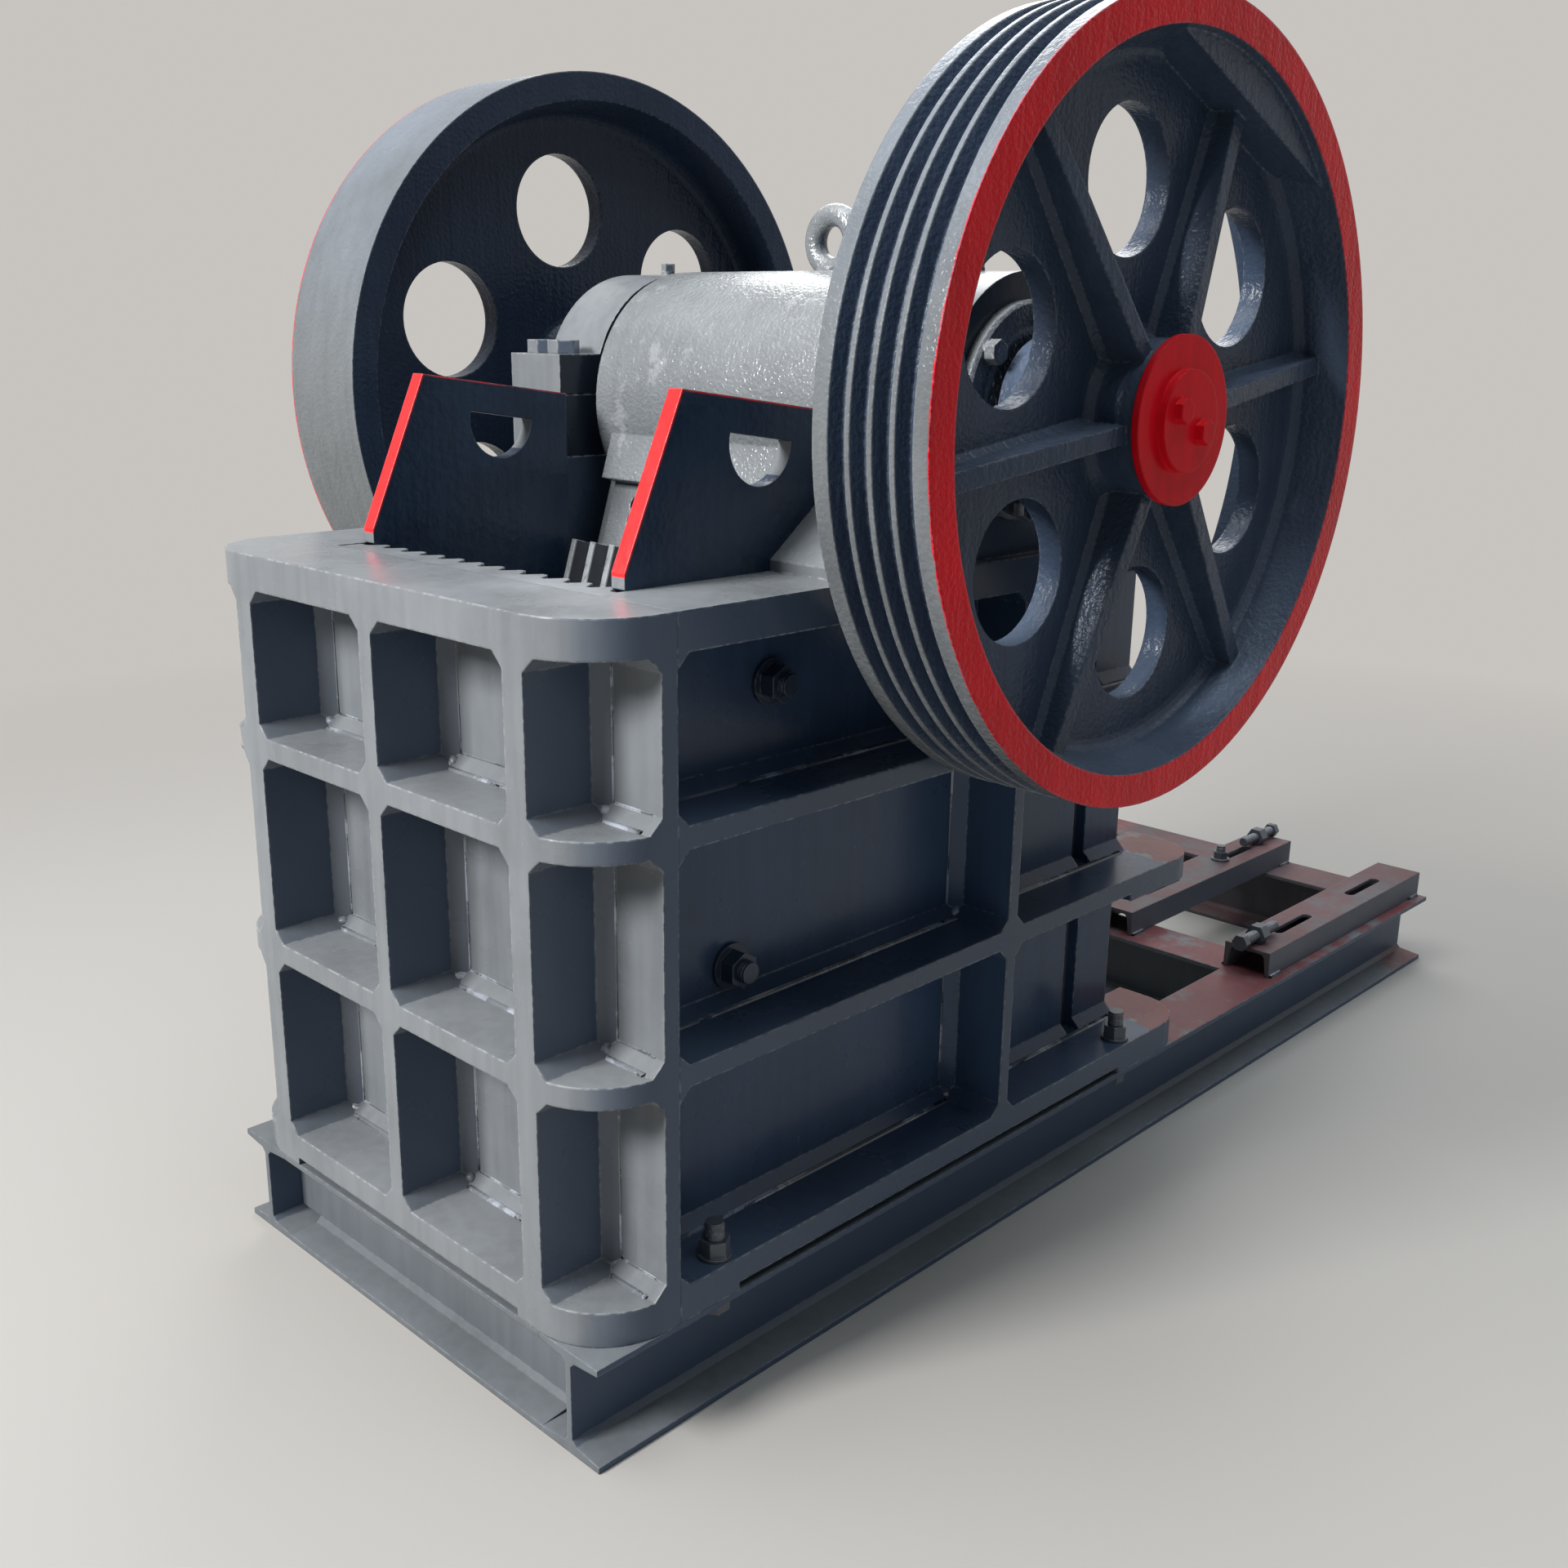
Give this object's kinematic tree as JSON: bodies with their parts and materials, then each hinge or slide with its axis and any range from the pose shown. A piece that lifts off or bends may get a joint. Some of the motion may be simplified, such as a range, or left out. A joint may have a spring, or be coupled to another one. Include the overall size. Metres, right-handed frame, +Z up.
{
  "type": "jaw crusher",
  "caption": "Jaw crusher on a beam skid: ribbed box frame, swing jaw on an eccentric shaft, grooved drive wheel, flywheel and slotted motor rails.",
  "frame": {"origin": "on the ground, at the middle of the skid's length and width", "axes": "+X along the shaft towards the grooved drive wheel, +Y from the feed front to the motor rails, +Z up"},
  "size_m": [1.118, 1.98, 1.453],
  "materials": {
    "skid_beam_left": "glossy grey paint",
    "skid_beam_right": "glossy grey paint",
    "skid_cross_front": "glossy grey paint",
    "skid_cross_middle": "glossy grey paint",
    "skid_cross_rear": "matt primer",
    "motor_rail_inner": "matt primer",
    "motor_rail_outer": "matt primer",
    "rail_adjusting_bolts": "oiled dark steel",
    "rail_clamp_bolt": "oiled dark steel",
    "frame_front": "glossy grey paint",
    "frame_side_left": "glossy grey paint",
    "frame_side_right": "glossy grey paint",
    "frame_rear": "glossy grey paint",
    "hold_down_bolts": "oiled dark steel",
    "bearing_base_left": "glossy grey paint",
    "bearing_base_right": "glossy grey paint",
    "bearing_cap_left": "glossy grey paint",
    "bearing_cap_right": "glossy grey paint",
    "bearing_bolts": "oiled dark steel",
    "main_bearings": "ground steel",
    "bearing_cover_left": "glossy grey paint",
    "bearing_cover_right": "glossy grey paint",
    "fixed_jaw_plate": "dark painted casting",
    "cheek_plate_left": "dark painted casting",
    "cheek_plate_right": "dark painted casting",
    "cheek_bolts": "oiled dark steel",
    "toggle_block": "cast iron",
    "adjusting_shims": "oiled dark steel",
    "toggle_plate": "cast iron",
    "tension_spring": "oiled dark steel",
    "eccentric_shaft": "ground steel",
    "pulley_wheel": "glossy grey paint",
    "flywheel": "glossy grey paint",
    "hub_disc_pulley": "glossy red paint",
    "hub_disc_flywheel": "glossy red paint",
    "swing_jaw": "glossy grey paint",
    "movable_jaw_plate": "dark painted casting",
    "toggle_seat": "cast iron",
    "lifting_eye": "glossy grey paint",
    "tension_rod": "oiled dark steel",
    "rod_nut": "oiled dark steel"
  },
  "bodies": {
    "frame": {"skid_beam_left": "skid_beam_left", "skid_beam_right": "skid_beam_right", "skid_cross_front": "skid_cross_front", "skid_cross_middle": "skid_cross_middle", "skid_cross_rear": "skid_cross_rear", "motor_rail_inner": "motor_rail_inner", "motor_rail_outer": "motor_rail_outer", "rail_adjusting_bolts": "rail_adjusting_bolts", "rail_clamp_bolt": "rail_clamp_bolt", "frame_front": "frame_front", "frame_side_left": "frame_side_left", "frame_side_right": "frame_side_right", "frame_rear": "frame_rear", "hold_down_bolts": "hold_down_bolts", "bearing_base_left": "bearing_base_left", "bearing_base_right": "bearing_base_right", "bearing_cap_left": "bearing_cap_left", "bearing_cap_right": "bearing_cap_right", "bearing_bolts": "bearing_bolts", "main_bearings": "main_bearings", "bearing_cover_left": "bearing_cover_left", "bearing_cover_right": "bearing_cover_right", "fixed_jaw_plate": "fixed_jaw_plate", "cheek_plate_left": "cheek_plate_left", "cheek_plate_right": "cheek_plate_right", "cheek_bolts": "cheek_bolts", "toggle_block": "toggle_block", "adjusting_shims": "adjusting_shims", "toggle_plate": "toggle_plate", "tension_spring": "tension_spring"},
    "rotor": {"eccentric_shaft": "eccentric_shaft", "pulley_wheel": "pulley_wheel", "flywheel": "flywheel", "hub_disc_pulley": "hub_disc_pulley", "hub_disc_flywheel": "hub_disc_flywheel"},
    "jaw": {"swing_jaw": "swing_jaw", "movable_jaw_plate": "movable_jaw_plate", "toggle_seat": "toggle_seat", "lifting_eye": "lifting_eye", "tension_rod": "tension_rod", "rod_nut": "rod_nut"}
  },
  "joints": [
    {"name": "shaft_spin", "type": "hinge", "parent": "frame", "child": "rotor", "pos_m": [0, -0.333, 1.038], "axis": [1, 0, 0], "continuous": true},
    {"name": "jaw_orbit", "type": "hinge", "parent": "rotor", "child": "jaw", "pos_m": [0, -0.33675, 1.02873], "axis": [1, 0, 0], "continuous": true, "deforming": ["tension_spring"]}
  ],
  "couplings": [
    {"joint": "jaw_orbit", "follows": "shaft_spin", "ratio": -1}
  ]
}
